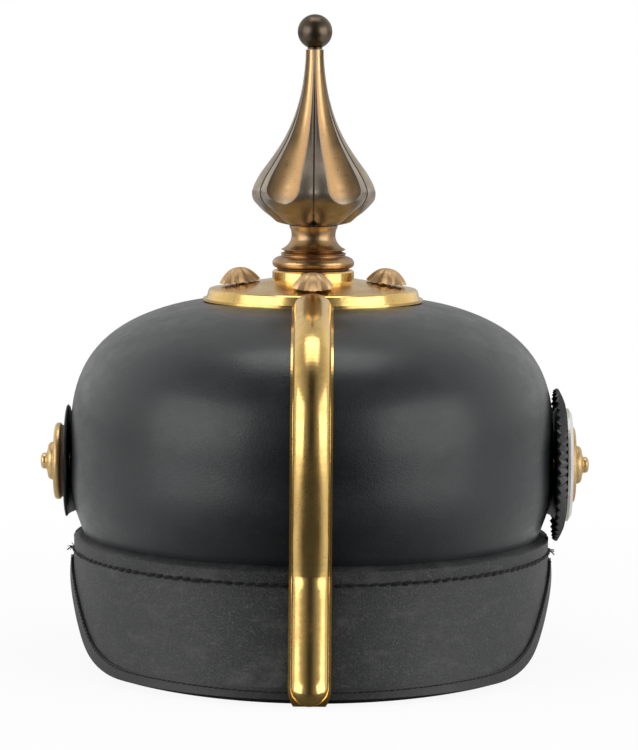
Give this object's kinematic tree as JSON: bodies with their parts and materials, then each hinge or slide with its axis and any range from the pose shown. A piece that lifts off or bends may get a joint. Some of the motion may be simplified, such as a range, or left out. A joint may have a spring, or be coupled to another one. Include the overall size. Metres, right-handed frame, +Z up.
{
  "type": "pickelhaube",
  "caption": "Spiked leather dress helmet with brass spine, base disc, fluted ball-tipped spike, side rosettes, cockade, visors and chin strap.",
  "frame": {"origin": "on the spike's axis, in the plane that the helmet stands on", "axes": "+Z up along the spike, +Y towards the front visor, +X towards the wearer's right"},
  "size_m": [0.2156, 0.2874, 0.2517],
  "materials": {
    "black_leather": "glossy black, fine grain",
    "visor_leather": "dull black, scuffed",
    "underlay_leather": "matte black",
    "green_leather": "matte green",
    "brown_leather": "matte brown",
    "strap_leather": "waxed black",
    "gilt_brass": "polished gilt with tarnish",
    "raw_brass": "dull",
    "copper_brass": "worn, reddish",
    "bronzed_brass": "brown patina",
    "dark_bronze": "dark patina",
    "steel": "dull",
    "black_paint": "glossy black",
    "silvered_metal": "silver white",
    "silk": "soft sheen"
  },
  "bodies": {
    "helmet": {"skull": "black_leather", "rear_visor": "visor_leather", "rear_visor_binding": "visor_leather", "rear_visor_lining": "underlay_leather", "front_visor": "visor_leather", "front_visor_trim": "gilt_brass", "front_visor_lining": "green_leather", "rear_spine": "gilt_brass", "spine_nuts": "raw_brass", "base_disc": "gilt_brass", "base_collar": "gilt_brass", "socket_bush": "raw_brass", "crown_plate": "steel", "bush_nut": "raw_brass", "flower_screws": "copper_brass", "flower_screw_nuts": "raw_brass", "rosette_left": "gilt_brass", "rosette_right": "gilt_brass", "rosette_washers": "steel", "rosette_nuts": "raw_brass", "left_spacer": "brown_leather", "cockade_boss": "brown_leather", "cockade_disc": "black_paint", "cockade_ring": "silvered_metal", "sweatband": "brown_leather", "lining": "silk"},
    "chin_strap": {"strap_left": "strap_leather", "strap_right": "strap_leather", "strap_eyelets": "raw_brass", "strap_slides": "gilt_brass"},
    "washer": {"seat_washer": "brown_leather"},
    "spike": {"spike_neck": "bronzed_brass", "spike_bulb": "bronzed_brass", "spike_finial": "dark_bronze", "spike_rod": "steel"}
  },
  "joints": [
    {"name": "chin_strap_swing", "type": "hinge", "parent": "helmet", "child": "chin_strap", "pos_m": [0, 0, 0.075], "axis": [1, 0, 0], "range_deg": [0, 22]},
    {"name": "spike_lift", "type": "slide", "parent": "helmet", "child": "washer", "axis": [0, 0, 1], "range_m": [0, 0.0075]},
    {"name": "spike_turn", "type": "hinge", "parent": "washer", "child": "spike", "pos_m": [0, 0, 0.1523], "axis": [0, 0, 1], "range_deg": [0, 1800]}
  ],
  "couplings": [
    {"joint": "spike_lift", "follows": "spike_turn", "m_per_rad": 0.00023873}
  ]
}
